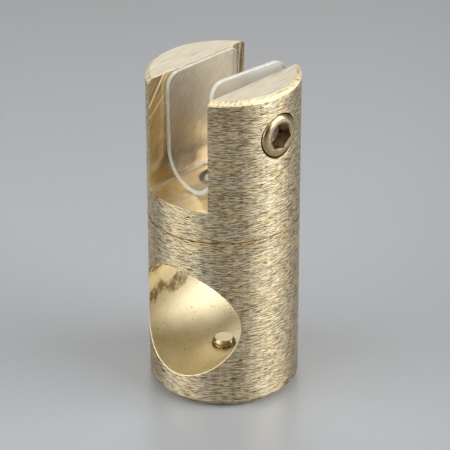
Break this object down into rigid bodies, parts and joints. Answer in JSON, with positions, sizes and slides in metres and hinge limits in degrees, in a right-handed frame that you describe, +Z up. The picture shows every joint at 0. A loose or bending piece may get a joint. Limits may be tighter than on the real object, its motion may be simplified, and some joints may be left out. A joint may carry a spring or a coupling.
{
  "type": "glass panel to bar connector",
  "caption": "Cylindrical clamp that joins a glass panel to a round bar: a slotted, lined head with a clamp screw swivels on a base with a cross bore and a set screw.",
  "frame": {"origin": "centre of the base's round bottom face", "axes": "+Z up along the swivel axis, +X along the slot and so along the glass panel's edge, the clamp screw on the -Y side"},
  "size_m": [0.032, 0.0322, 0.0729],
  "materials": {
    "brushed_brass": "pale satin brass, brushed round the cylinder in short strokes",
    "polished_brass": "polished",
    "plated_steel": "zinc plated",
    "nylon": "natural nylon",
    "clear_plastic": "clear sheet with frosted cut edges"
  },
  "bodies": {
    "base": {"base_body": "brushed_brass", "pivot_screw": "plated_steel", "disc_spring": "plated_steel", "swivel_washer": "nylon"},
    "bar_screw": {"bar_screw": "polished_brass"},
    "head": {"head_body": "brushed_brass", "slot_liner": "clear_plastic"},
    "clamp_pad": {"clamp_pad": "nylon"},
    "clamp_screw": {"clamp_screw": "polished_brass"}
  },
  "joints": [
    {"name": "head_swivel", "type": "hinge", "parent": "base", "child": "head", "pos_m": [0, 0, 0.0394], "axis": [0, 0, 1], "continuous": true},
    {"name": "bar_screw_travel", "type": "slide", "parent": "base", "child": "bar_screw", "axis": [0, 0, 1], "range_m": [-0.0018, 0.0025]},
    {"name": "clamp_travel", "type": "slide", "parent": "head", "child": "clamp_pad", "axis": [0, 1, 0], "range_m": [-0.0007, 0.0025], "deforming": ["slot_liner"]},
    {"name": "clamp_spin", "type": "hinge", "parent": "clamp_pad", "child": "clamp_screw", "pos_m": [0, -0.012, 0.0616], "axis": [0, 1, 0], "range_deg": [-169, 601]}
  ],
  "couplings": [
    {"joint": "clamp_spin", "follows": "clamp_travel", "rad_per_m": 4188.8}
  ]
}
